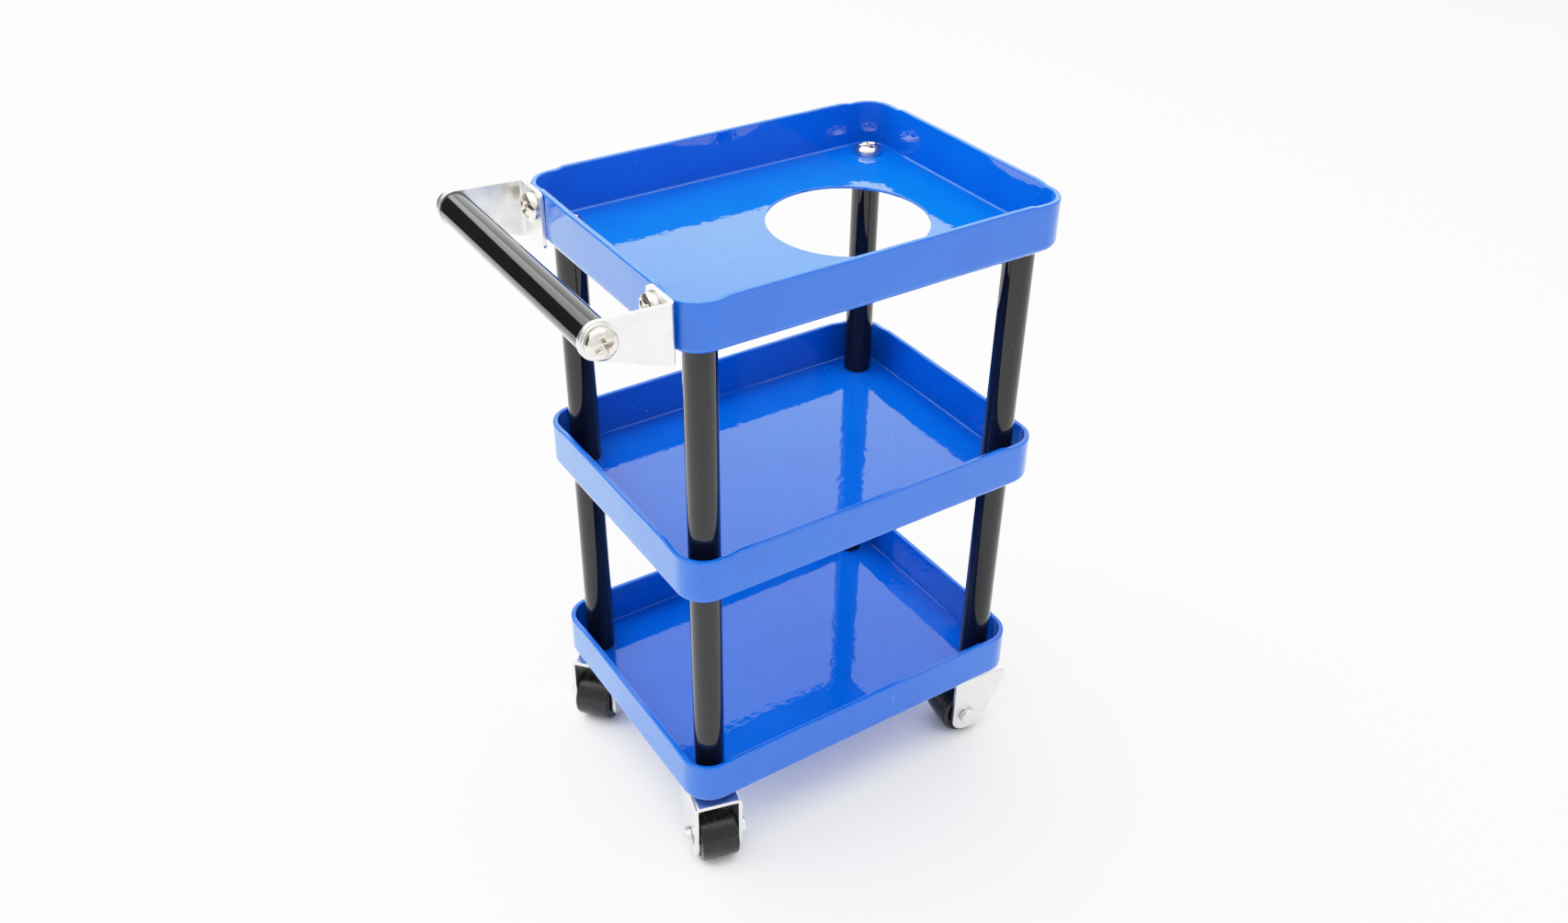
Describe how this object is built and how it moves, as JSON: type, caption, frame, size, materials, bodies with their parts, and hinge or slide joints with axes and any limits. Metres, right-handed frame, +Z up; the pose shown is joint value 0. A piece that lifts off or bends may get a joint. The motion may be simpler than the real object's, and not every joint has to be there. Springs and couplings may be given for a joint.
{
  "type": "rolling tool cart",
  "caption": "Miniature open tool cart: shallow blue trays stacked on round black posts, a push handle at one end, a round holder hole in the top tray and swivel casters.",
  "frame": {"origin": "on the floor, midway between the four columns of posts", "axes": "+X along the trays towards the end without the handle, +Y across the trays, +Z up"},
  "size_m": [0.0987, 0.0655, 0.1304],
  "materials": {
    "blue_enamel": "vivid blue gloss enamel with a slight orange peel",
    "black_gloss": "gloss black paint",
    "zinc": "zinc-plated sheet steel, slightly mottled",
    "nickel": "nickel-plated screws and rivets",
    "wheel_black": "black moulded plastic, half gloss"
  },
  "bodies": {
    "cart": {"bottom_tray": "blue_enamel", "middle_tray": "blue_enamel", "top_tray": "blue_enamel", "lower_post_rear_right": "black_gloss", "upper_post_rear_right": "black_gloss", "post_stud_rear_right": "zinc", "top_screw_rear_right": "nickel", "caster_bush_rear_right": "zinc", "caster_screw_rear_right": "nickel", "lower_post_front_right": "black_gloss", "upper_post_front_right": "black_gloss", "post_stud_front_right": "zinc", "top_screw_front_right": "nickel", "caster_bush_front_right": "zinc", "caster_screw_front_right": "nickel", "lower_post_rear_left": "black_gloss", "upper_post_rear_left": "black_gloss", "post_stud_rear_left": "zinc", "top_screw_rear_left": "nickel", "caster_bush_rear_left": "zinc", "caster_screw_rear_left": "nickel", "lower_post_front_left": "black_gloss", "upper_post_front_left": "black_gloss", "post_stud_front_left": "zinc", "top_screw_front_left": "nickel", "caster_bush_front_left": "zinc", "caster_screw_front_left": "nickel", "handle_rod": "black_gloss", "handle_bracket_right": "zinc", "handle_washer_right": "zinc", "handle_end_screw_right": "nickel", "bracket_screw_right": "nickel", "handle_bracket_left": "zinc", "handle_washer_left": "zinc", "handle_end_screw_left": "nickel", "bracket_screw_left": "nickel"},
    "fork_rear_right": {"caster_fork_rear_right": "zinc", "caster_axle_rear_right": "nickel"},
    "wheel_rear_right": {"caster_wheel_rear_right": "wheel_black"},
    "fork_front_right": {"caster_fork_front_right": "zinc", "caster_axle_front_right": "nickel"},
    "wheel_front_right": {"caster_wheel_front_right": "wheel_black"},
    "fork_rear_left": {"caster_fork_rear_left": "zinc", "caster_axle_rear_left": "nickel"},
    "wheel_rear_left": {"caster_wheel_rear_left": "wheel_black"},
    "fork_front_left": {"caster_fork_front_left": "zinc", "caster_axle_front_left": "nickel"},
    "wheel_front_left": {"caster_wheel_front_left": "wheel_black"}
  },
  "joints": [
    {"name": "swivel_rear_right", "type": "hinge", "parent": "cart", "child": "fork_rear_right", "pos_m": [-0.034, -0.024, 0.0166], "axis": [0, 0, 1], "continuous": true},
    {"name": "wheel_spin_rear_right", "type": "hinge", "parent": "fork_rear_right", "child": "wheel_rear_right", "pos_m": [-0.03471, -0.02671, 0.0055], "axis": [0.9677, -0.2521, 0], "continuous": true},
    {"name": "swivel_front_right", "type": "hinge", "parent": "cart", "child": "fork_front_right", "pos_m": [0.034, -0.024, 0.0166], "axis": [0, 0, 1], "continuous": true},
    {"name": "wheel_spin_front_right", "type": "hinge", "parent": "fork_front_right", "child": "wheel_front_right", "pos_m": [0.03123, -0.02356, 0.0055], "axis": [-0.1564, -0.9877, 0], "continuous": true},
    {"name": "swivel_rear_left", "type": "hinge", "parent": "cart", "child": "fork_rear_left", "pos_m": [-0.034, 0.024, 0.0166], "axis": [0, 0, 1], "continuous": true},
    {"name": "wheel_spin_rear_left", "type": "hinge", "parent": "fork_rear_left", "child": "wheel_rear_left", "pos_m": [-0.03611, 0.02216, 0.0055], "axis": [0.6561, -0.7547, 0], "continuous": true},
    {"name": "swivel_front_left", "type": "hinge", "parent": "cart", "child": "fork_front_left", "pos_m": [0.034, 0.024, 0.0166], "axis": [0, 0, 1], "continuous": true},
    {"name": "wheel_spin_front_left", "type": "hinge", "parent": "fork_front_left", "child": "wheel_front_left", "pos_m": [0.03228, 0.02621, 0.0055], "axis": [-0.788, -0.6157, 0], "continuous": true}
  ]
}
